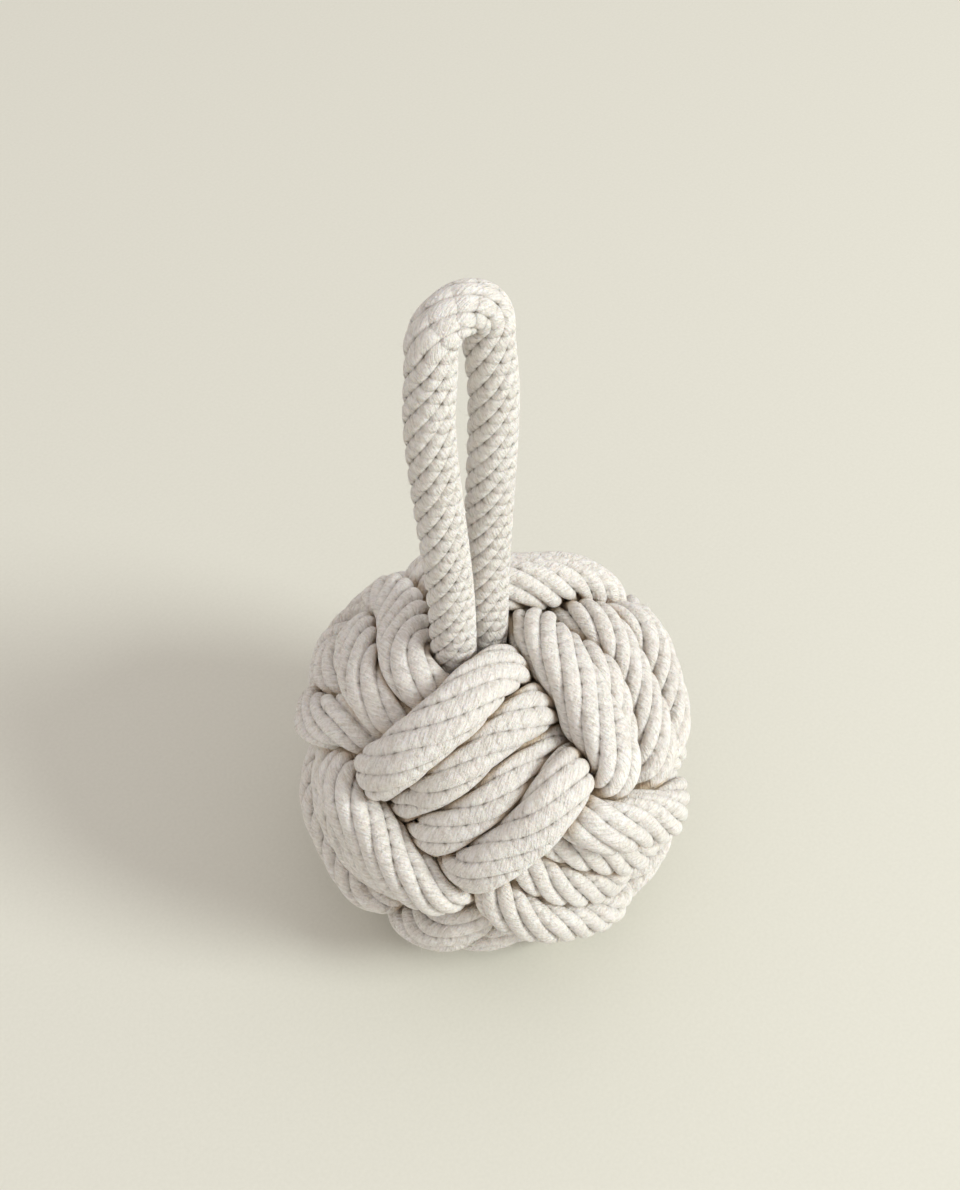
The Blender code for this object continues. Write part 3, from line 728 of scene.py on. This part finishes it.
# %% The pattern of laid cotton
BEAD_SHIFT = 0.37  # of each strand's beads against the last strand's, in beads
BEAD_SLANT = 0.3  # of a bead from one side of its strand to the other, in beads
BEAD_WANDER = 0.7  # in beads
WANDER_RATE = 0.12  # for each millimetre
FIBRE_SLANT = 5.5  # how far along the rope a fibre crosses its strand, in millimetres
FIBRES_ALONG = 1.7  # for each millimetre
FIBRES_ACROSS = 1.6  # for each strand
FUZZ_SCALE, MOTTLE_SCALE, FADE_SCALE = 900.0, 38.0, 110.0  # for each metre
GROOVE_NARROWNESS = 9.0
DOT_NARROWNESS = 2.5
DOT_SHARE = 0.7  # of a groove's painted shade that only its dots have
JOINT_NARROWNESS = 8.0
JOINT_DARKNESS = 0.35  # painted shade of the line between two beads, for a groove's at 1
FADE_CONTRAST, FADE_OFFSET = 3.0, -0.7
FADE_LEAST, FADE_MOST = 0.15, 1.25  # of a groove's painted shade that is left where it fades
FIBRE_HEIGHT, FUZZ_HEIGHT, GROOVE_HEIGHT = 1.1, 0.9, -0.6
FIBRE_SHADE, FUZZ_SHADE, MOTTLE_SHADE = 1.6, 0.9, 0.5


def group_with(name, inputs, outputs):
    """A new node group with named sockets, and what goes into it and comes out of it."""
    tree = bpy.data.node_groups.new(name, "ShaderNodeTree")
    for way, sockets in (("INPUT", inputs), ("OUTPUT", outputs)):
        for socket, kind in sockets.items():
            tree.interface.new_socket(socket, in_out=way, socket_type=f"NodeSocket{kind}")
    return tree, tree.nodes.new("NodeGroupInput").outputs, tree.nodes.new("NodeGroupOutput").inputs


def laid_cotton_group():
    """From the rope's map: the grooves' painted shade, the height of beads and fibres, and a random tone."""
    tree, given, result = group_with(
        "laid_cotton",
        {"Map": "Vector", "Place": "Vector", "Bead length": "Float", "Plumpness": "Float"},
        {"Groove shade": "Float", "Height": "Float", "Shade": "Float"},
    )
    calc = partial(math_node, tree)
    strand, length = parts(tree, given["Map"])
    length = calc("MULTIPLY", length, 1000 / MAP_SCALE)  # in millimetres
    across = calc("SUBTRACT", calc("FRACT", strand), 0.5)
    shift = calc("MULTIPLY", calc("FLOOR", strand), BEAD_SHIFT)
    edge = calc("MULTIPLY", calc("ABSOLUTE", across), 2.0)  # 0 along a strand's middle, 1 in a groove

    wander = noise_node(tree, vector_node(tree, strand, calc("MULTIPLY", length, WANDER_RATE)), 1.0, 1.0)
    bead = calc("ADD", calc("DIVIDE", length, given["Bead length"]), shift)
    bead = calc("MULTIPLY_ADD", wander, BEAD_WANDER, calc("MULTIPLY_ADD", across, BEAD_SLANT, bead))
    joint = calc("MULTIPLY", calc("PINGPONG", bead, 0.5), 2.0)  # 0 in a bead's middle, 1 between two beads

    along = calc("MULTIPLY", calc("MULTIPLY_ADD", across, FIBRE_SLANT, length), FIBRES_ALONG)
    slant = vector_node(tree, along, calc("MULTIPLY", across, FIBRES_ACROSS), shift)
    fibres = noise_node(tree, slant, 1.0, 3.0, 0.65)
    fuzz = noise_node(tree, given["Place"], FUZZ_SCALE, 3.0, 0.65)
    mottle = noise_node(tree, given["Place"], MOTTLE_SCALE, 3.0, 0.55)
    groove_fade = noise_node(tree, given["Place"], FADE_SCALE, 2.0)

    # painted shade: the grooves and the lines between beads are darkened as shade would darken them, and this
    # fades in places
    dots = calc("MULTIPLY_ADD", calc("POWER", joint, DOT_NARROWNESS), DOT_SHARE, 1 - DOT_SHARE)
    groove = calc("MULTIPLY", calc("POWER", edge, GROOVE_NARROWNESS), dots)
    crossing = calc("MULTIPLY", calc("POWER", joint, JOINT_NARROWNESS), edge)
    crossing = calc("MULTIPLY", crossing, given["Plumpness"])
    groove = calc("MULTIPLY_ADD", crossing, JOINT_DARKNESS, groove)
    left = calc("MAXIMUM", calc("MULTIPLY_ADD", groove_fade, FADE_CONTRAST, FADE_OFFSET), FADE_LEAST)
    groove = calc("MULTIPLY", groove, calc("MINIMUM", left, FADE_MOST))
    tree.links.new(groove, result["Groove shade"])

    height = calc("MULTIPLY_ADD", fibres, FIBRE_HEIGHT, calc("MULTIPLY", fuzz, FUZZ_HEIGHT))
    height = calc("MULTIPLY_ADD", groove, GROOVE_HEIGHT, height)
    bulge = calc("SUBTRACT", 1.0, calc("MULTIPLY", joint, joint))
    tree.links.new(calc("MULTIPLY_ADD", bulge, given["Plumpness"], height), result["Height"])

    shade = calc("MULTIPLY", calc("SUBTRACT", mottle, 0.5), MOTTLE_SHADE)
    shade = calc("MULTIPLY_ADD", calc("SUBTRACT", fibres, 0.5), FIBRE_SHADE, shade)
    shade = calc("MULTIPLY_ADD", calc("SUBTRACT", fuzz, 0.5), FUZZ_SHADE, shade)
    tree.links.new(shade, result["Shade"])
    return tree


laid_cotton = laid_cotton_group()
print("laid cotton:", len(laid_cotton.nodes), "nodes")

# %% The cotton rope's material
DARK_COTTON, PALE_COTTON = (0.55, 0.49, 0.42), (0.985, 0.95, 0.905)
COTTON_TONE = 0.76  # where plain cotton lies between the dark and the pale
GROOVE_SHADE_COLOUR = (0.22, 0.18, 0.13)
# painted shade: where turns press on each other, the shade in the gaps between them is painted as a warm
# brown
PRESSED_SHADE_COLOUR = (0.68, 0.53, 0.36)
PRESSED_SHADE_SHARE = 0.85
COTTON_RELIEF = 0.0011


def cotton_rope(name, bead_length, plumpness):
    """A finish of laid cotton, whose beads have a length in millimetres and a plumpness of up to 1."""
    made, tree, shader = finish(name, roughness=0.92)
    pattern = node(tree, "ShaderNodeGroup", node_tree=laid_cotton)
    fed(tree, pattern, own_map(tree, "lay"), object_place(tree), bead_length, plumpness)
    tone = math_node(tree, "ADD", pattern.outputs["Shade"], COTTON_TONE)
    colour = ramp_node(tree, tone, DARK_COTTON, PALE_COTTON)
    # painted shade in the grooves and between beads
    colour = mix_node(tree, pattern.outputs["Groove shade"], colour, GROOVE_SHADE_COLOUR)
    # painted shade, brown, where turns press on each other
    pressed = node(tree, "ShaderNodeAttribute", attribute_name="pressed").outputs["Fac"]
    colour = mix_node(tree, math_node(tree, "MULTIPLY", pressed, PRESSED_SHADE_SHARE), colour, PRESSED_SHADE_COLOUR)
    tree.links.new(colour, shader.inputs["Base Color"])
    raise_surface(tree, shader, pattern.outputs["Height"], 1.0, COTTON_RELIEF)
    shader.inputs["Specular IOR Level"].default_value = 0.2
    shader.inputs["Subsurface Weight"].default_value = 0.25
    shader.inputs["Subsurface Radius"].default_value = (1, 0.75, 0.5)
    shader.inputs["Subsurface Scale"].default_value = 0.003
    shader.inputs["Sheen Weight"].default_value = 0.12
    shader.inputs["Sheen Roughness"].default_value = 0.6
    return made


weave_cotton = cotton_rope("cotton_rope", bead_length=4.0, plumpness=0.4)
handle_cotton = cotton_rope("handle_cotton", bead_length=4.4, plumpness=1.0)

# %% [markdown]
# ## The four bands
# Each band becomes one rope, and it stands for the plain solid of the same name. The neighbours that
# squeeze it are the other bands, its own other turns, and the handle's legs. On the real ball the ropes of
# the foremost pillow are drawn straighter than the rest, so there the strands slant less and the grooves
# are shallower.

# %% The lines of all ropes
RING_STEP = 0.00115
BAND_ROUNDS = 2  # of smoothing a settled band's line
NEIGHBOUR_STEP = 3  # rings from one place that presses on the neighbours to the next


def as_neighbours(lines):
    """Places along each line, with their thickness, their line's number and their length along it."""
    rows = []
    for number, line in enumerate(lines):
        row = np.column_stack([line, np.full(len(line), number), lengths_along(line[:, :3])])
        rows.append(row[::NEIGHBOUR_STEP])
    return np.concatenate(rows)


handle_line = handle_route()
handle_line = np.column_stack([handle_line, np.full(len(handle_line), HANDLE_ROPE_DIAMETER)])
handle_line = evenly(handle_line, RING_STEP, 0)
lines = [*(evenly(band, RING_STEP, BAND_ROUNDS) for band in bands), handle_line]
others = as_neighbours(lines)
print("rings:", [len(line) for line in lines])

# %% The four woven ropes
FREE_RADIUS = 0.558 * ROPE_DIAMETER
WEAVE_FULLNESS = 3.1
LAY, DEPTH = math.radians(36), 0.2  # the strands' slant, and the grooves' depth as a share of the radius
FRONT_LAY, FRONT_DEPTH = math.radians(28), 0.1
FRONT_ASIDE = 0.12  # the foremost pillow lies a little to the left, as the camera sees it
FRONT_ANGLE = math.radians(30.4)  # it reaches this far from its middle, seen from the ball's middle,
FRONT_FADE = math.radians(19)  # and its looks change to those of the rest over this
WEAVE_FIBRES = 4000

foremost = np.array(-ahead - FRONT_ASIDE * right)
foremost /= np.linalg.norm(foremost)
for number, line in enumerate(lines[:BANDS]):
    facing = np.arccos(unit(line[:, :3]) @ foremost)
    behind = ease((facing - FRONT_ANGLE) / FRONT_FADE)
    sections = sections_of(line, others, FREE_RADIUS, WEAVE_FULLNESS, number)
    lay_angle = FRONT_LAY + (LAY - FRONT_LAY) * behind
    depth = FRONT_DEPTH + (DEPTH - FRONT_DEPTH) * behind
    name = f"woven_rope_{number + 1}"
    rope = laid_rope(name, line, sections, lay_angle, depth, ROPE_DIAMETER, fibres=WEAVE_FIBRES)
    rope.data.materials.append(weave_cotton)
    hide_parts(f"weave_rope_{number + 1}")
    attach(rope, "ball")
    print(rope.name, len(rope.data.polygons), "faces, length", round(len(line) * RING_STEP, 2), "m")

# %% [markdown]
# ## The handle
# The loop and its two tails are three solids in the frame, because only the loop moves. On the real object
# they are one rope. Three pieces would show a seam where they meet, so one piece stands for all three here.

# %% The handle
HANDLE_FREE_RADIUS = 0.495 * HANDLE_ROPE_DIAMETER
ROUND_FULLNESS = 2
HANDLE_LAY, HANDLE_DEPTH = math.radians(36), 0.12
HANDLE_FIBRES = 2400

sections = sections_of(handle_line, others, HANDLE_FREE_RADIUS, ROUND_FULLNESS, BANDS)
handle = laid_rope(
    "handle_rope", handle_line, sections, HANDLE_LAY, HANDLE_DEPTH, HANDLE_ROPE_DIAMETER, fibres=HANDLE_FIBRES
)
handle.data.materials.append(handle_cotton)
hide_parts("handle_loop", "handle_tail_left", "handle_tail_right")
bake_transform(handle)
print("handle", len(handle.data.polygons), "faces")

# %% [markdown]
# ## The bag
# Inside the ball is a bag of unbleached canvas, a round of cloth that is gathered up at its neck in pleats.
# The ropes are wound tight round it, so it has the sagged ball's shape. Cloth could be simulated for it,
# but it is hidden and held all round. So it is a turned shape, and the pleats only change how far each
# ring's points lie from the axis.

# %% The mesh of a turned shape
def belly(radius, start, count):
    """Points on the profile of a ball that sags, as (distance from the axis, height), down to its bottom."""
    outline = np.array(arc((0, 0), radius, math.asin(start / radius), -math.pi / 2, count))
    return outline * sag(np.column_stack([outline[:, 0], np.zeros(count), outline[:, 1]]))[:, None]


def turned(name, profile, distances):
    """A mesh from a profile's heights and each ring's distances from the axis, one for each direction, with
    its bottom closed. Its map holds the lengths round it and along the profile, in millimetres."""
    rings, around = distances.shape
    angle = 2 * math.pi * np.arange(around) / around
    heights = np.repeat(profile[:, 1:], around, 1)
    points = np.stack([distances * np.cos(angle), distances * np.sin(angle), heights], -1)
    ring, side = tube_corners(rings, around, downwards=True)
    bottom = [(rings - 1) * around + k for k in range(around)][::-1]
    faces = [*(ring * around + side % around).tolist(), bottom]
    wide = side * 2 * math.pi * BAG_RADIUS / around
    flat = np.stack([wide, lengths_along(profile)[ring]], axis=-1).reshape(-1, 2) * 1000
    return mapped_piece(name, points.reshape(-1, 3) + centre, faces, "cloth", flat)


# %% The bag
BAG_WALL = 0.0012
NECK_CLEARANCE = 0.0009
NECK_FLARE = 0.0006
SHOULDER_HEIGHT = 0.018  # above the middle of the ball
PLEATS = 26
PLEAT_DEPTH = 0.0008
PLEAT_POINTS = 12
SHOULDER_POINTS = 24
BELLY_POINTS = 60
CLOTH_THICKNESS = 0.0005
NECK_RADIUS = LEG_OFFSET + HANDLE_ROPE_DIAMETER / 2 + NECK_CLEARANCE + BAG_WALL
GATHERS_START = SHOULDER_HEIGHT / 2

neck = np.array([(NECK_RADIUS + NECK_FLARE, NECK_TOP), (NECK_RADIUS, TIE_HEIGHT + TIE_TWINE)])
lower = belly(BAG_RADIUS, SHOULDER_HEIGHT, BELLY_POINTS)
share = np.linspace(1, 0, SHOULDER_POINTS)[:-1]
shoulder = np.column_stack([
    NECK_RADIUS + (lower[0, 0] - NECK_RADIUS) * (1 - ease(share)),
    lower[0, 1] + (TIED_FROM - lower[0, 1]) * share,
])
profile = np.concatenate([neck, shoulder, lower[:-1]])
gathered = ease((profile[:, 1] - GATHERS_START) / (TIE_HEIGHT - GATHERS_START))
wave = 0.5 - 0.5 * np.cos(2 * math.pi * np.arange(PLEATS * PLEAT_POINTS) / PLEAT_POINTS)
bag = turned("canvas_bag", profile, profile[:, :1] - PLEAT_DEPTH * gathered[:, None] * wave)
wall = bag.modifiers.new("cloth", "SOLIDIFY")
wall.thickness = CLOTH_THICKNESS
wall.offset = -1
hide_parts("ballast_bag")
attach(bag, "ball")
print("bag", len(bag.data.polygons), "faces,", PLEATS, "pleats")

# %% The bag's canvas
THREAD = 1.1  # from one thread to the next, in millimetres

canvas, tree, shader = finish("bag_canvas", roughness=0.95)
calc = partial(math_node, tree)
threads = [calc("DIVIDE", part, THREAD) for part in parts(tree, own_map(tree, "cloth"))]
warp, weft = (calc("SINE", calc("MULTIPLY", calc("FRACT", thread), math.pi)) for thread in threads)
crossings = calc("ADD", *(calc("FLOOR", thread) for thread in threads))
over = calc("MULTIPLY", calc("FRACT", calc("MULTIPLY", crossings, 0.5)), 2.0)  # 1 at every other crossing
raised = calc("MULTIPLY_ADD", calc("SUBTRACT", warp, weft), over, weft)
tree.links.new(ramp_node(tree, raised, (0.36, 0.30, 0.21), (0.66, 0.59, 0.46)), shader.inputs["Base Color"])
raise_surface(tree, shader, raised, 0.8, 0.0003)
bag.data.materials.append(canvas)
print("canvas:", len(tree.nodes), "nodes")

# %% [markdown]
# ## The sand
# Dry washed sand fills the bag and gives the doorstop its weight. Its grains are far too small to model one
# by one in a place that nobody sees, so it is one turned shape with a slight heap on top. Each point is
# pushed in by less than a grain, and the finish shows the grains' colours.

# %% The sand
SAND_LEVEL = 0.0118  # above the middle of the ball
SAND_HEAP = 0.0008  # the middle of the sand's top above its edge
SAND_CLEARANCE = 0.0009
HEAP_POINTS = 20
SAND_SIDES = 180
GRAIN = 0.00025
GRAIN_SEED = 7
LEAST_DISTANCE = 0.00001  # keeps the top ring open, so that its faces have a size

inside = belly(BAG_RADIUS - BAG_WALL - SAND_CLEARANCE, SAND_LEVEL, BELLY_POINTS)
share = np.linspace(0, 1, HEAP_POINTS)[1:-1]
heap = np.column_stack([inside[0, 0] * share, SAND_LEVEL + SAND_HEAP * (1 - ease(share))])
profile = np.concatenate([[(0, SAND_LEVEL + SAND_HEAP)], heap, inside])
grains = np.random.default_rng(GRAIN_SEED).random((len(profile), SAND_SIDES)) * GRAIN
sand = turned("sand", profile, np.clip(profile[:, :1] - grains, LEAST_DISTANCE, None))
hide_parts("sand_fill")
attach(sand, "ball")
print("sand", len(sand.data.polygons), "faces")

# %% The sand's finish
GRAIN_SCALE = 2200.0  # for each metre

dry_sand, tree, shader = finish("sand", roughness=0.85)
speck = node(tree, "ShaderNodeTexVoronoi", Scale=GRAIN_SCALE)
distance = fed(tree, speck, object_place(tree))
grey = fed(tree, tree.nodes.new("ShaderNodeRGBToBW"), speck.outputs["Color"])
tree.links.new(ramp_node(tree, grey, (0.30, 0.22, 0.13), (0.68, 0.56, 0.38)), shader.inputs["Base Color"])
raise_surface(tree, shader, distance, 0.7, 0.0003)
sand.data.materials.append(dry_sand)
print("sand's finish:", len(tree.nodes), "nodes")

# %% [markdown]
# ## The twine
# Waxed twine of three yarns closes the bag's neck and is wound round the handle's two cut ends, so that
# they don't unlay. It is laid like the rope, only thinner, so the same mesh serves. Its path is a helix,
# because stacked rings would show as rings where the real twine runs on from turn to turn.

# %% The twine's finish
YARN_ACROSS, YARN_ALONG = 7.0, 6.0  # how fine its marks are in each direction of its map

waxed, tree, shader = finish("waxed_twine", roughness=0.55)
across, along = parts(tree, own_map(tree, "lay"))
calc = partial(math_node, tree)
way = vector_node(tree, calc("MULTIPLY", across, YARN_ACROSS), calc("MULTIPLY", along, YARN_ALONG))
yarn = noise_node(tree, way, 1.0, 2.0)
tree.links.new(ramp_node(tree, yarn, (0.46, 0.38, 0.26), (0.84, 0.76, 0.60)), shader.inputs["Base Color"])
print("twine's finish:", len(tree.nodes), "nodes")

# %% The twine's mesh
TWINE_STRANDS = 3
TWINE_LAY = math.radians(30)
TWINE_GROOVE = 0.24
TWINE_STEP = 0.00035
HELIX_POINTS = 60  # in each turn


def helix(middle, radius, pitch, turns):
    """Points on a level helix round an upright axis, with the middle of its height at the given place."""
    angle = np.linspace(0, 2 * math.pi * turns, round(turns * HELIX_POINTS))
    height = pitch * (angle / (2 * math.pi) - turns / 2)
    return np.column_stack([radius * np.cos(angle), radius * np.sin(angle), height]) + middle


def twine(name, path, diameter, node_name):
    """A length of waxed twine that stands for a solid of the frame."""
    line = evenly(path, TWINE_STEP, 0)
    radii = np.full((len(line), SECTION_DIRECTIONS), diameter / 2)
    sections = Sections(radii, radii, *cross_directions(line))
    made = laid_rope(name, line, sections, TWINE_LAY, TWINE_GROOVE, diameter, TWINE_STRANDS)
    made.data.materials.append(waxed)
    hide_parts(node_name)
    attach(made, "ball")
    print(name, len(made.data.polygons), "faces, length", round(len(line) * TWINE_STEP, 2), "m")


# %% The neck's tie and the two whippings
NECK_TURNS = 1.9  # two turns side by side, less the gap between the ends
WHIPPING_TURNS = 4  # turns' widths that fill the whipping's length

thickness = TIE_TWINE / 2
path = helix([0, 0, TIE_HEIGHT], NECK_RADIUS + SEAT_CLEARANCE + thickness, thickness, NECK_TURNS)
twine("neck_twine", path, thickness, "bag_neck_tie")
thickness = WHIPPING_LENGTH / WHIPPING_TURNS
height = TAIL_END + WHIPPING_SETBACK + WHIPPING_LENGTH / 2
radius = HANDLE_ROPE_DIAMETER / 2 + SEAT_CLEARANCE + thickness / 2
for side, name in ((-1, "left"), (1, "right")):
    path = helix([side * TAIL_SPLAY, 0, height], radius, thickness, WHIPPING_TURNS - 1)
    twine(f"whipping_twine_{name}", path, thickness, f"tail_whipping_{name}")

# %% [markdown]
# ## The floor and the light
# The doorstop stands on a plain pale floor that fills the picture. One large soft lamp stands low on the
# right, so that the shadow falls long and soft to the left, and an even sky fills it a little. A small lamp
# would give the shadow a hard edge.

# %% The floor
FLOOR_SIZE = 12

bpy.ops.object.select_all(action="DESELECT")
bpy.ops.mesh.primitive_plane_add(size=FLOOR_SIZE, location=(0, 0, 0))
floor = bpy.context.object
floor.name = "floor"
floor_paint, tree, shader = finish("floor_paint", roughness=0.9)
grain = noise_node(tree, object_place(tree), 700.0, 2.0)
tree.links.new(ramp_node(tree, grain, (0.69, 0.68, 0.602), (0.75, 0.74, 0.662)), shader.inputs["Base Color"])
shader.inputs["Specular IOR Level"].default_value = 0.1
floor.data.materials.append(floor_paint)
print("floor", FLOOR_SIZE, "m wide")

# %% The light
LAMP_FORWARD, LAMP_UP = 0.36, 0.68  # towards the camera and upwards, for 1 to the right
LAMP_DISTANCE = 3.0
LAMP_SIZE = 1.1
LAMP_WATTS = 64
LAMP_COLOUR = (0.95, 1, 0.97)
SKY_COLOUR = (1, 0.948, 0.926, 1)
SKY_STRENGTH = 0.725

towards_camera = Vector((-ahead.x, -ahead.y, 0)).normalized()
key_from = right + towards_camera * LAMP_FORWARD + Vector((0, 0, LAMP_UP))
bpy.ops.object.light_add(type="AREA", location=Vector(centre) + key_from.normalized() * LAMP_DISTANCE)
key = bpy.context.object
key.name = "key_lamp"
key.data.shape = "DISK"
key.data.size = LAMP_SIZE
key.data.energy = LAMP_WATTS
key.data.color = LAMP_COLOUR
key.rotation_euler = (-key_from).to_track_quat("-Z", "Y").to_euler()

world = bpy.data.worlds.new("soft_sky")
bpy.context.scene.world = world
world.use_nodes = True
sky = world.node_tree.nodes["Background"]
sky.inputs["Color"].default_value = SKY_COLOUR
sky.inputs["Strength"].default_value = SKY_STRENGTH
bpy.context.scene.view_settings.view_transform = "Standard"
print("lamp at", [round(x, 3) for x in key.location], "and sky at", SKY_STRENGTH)
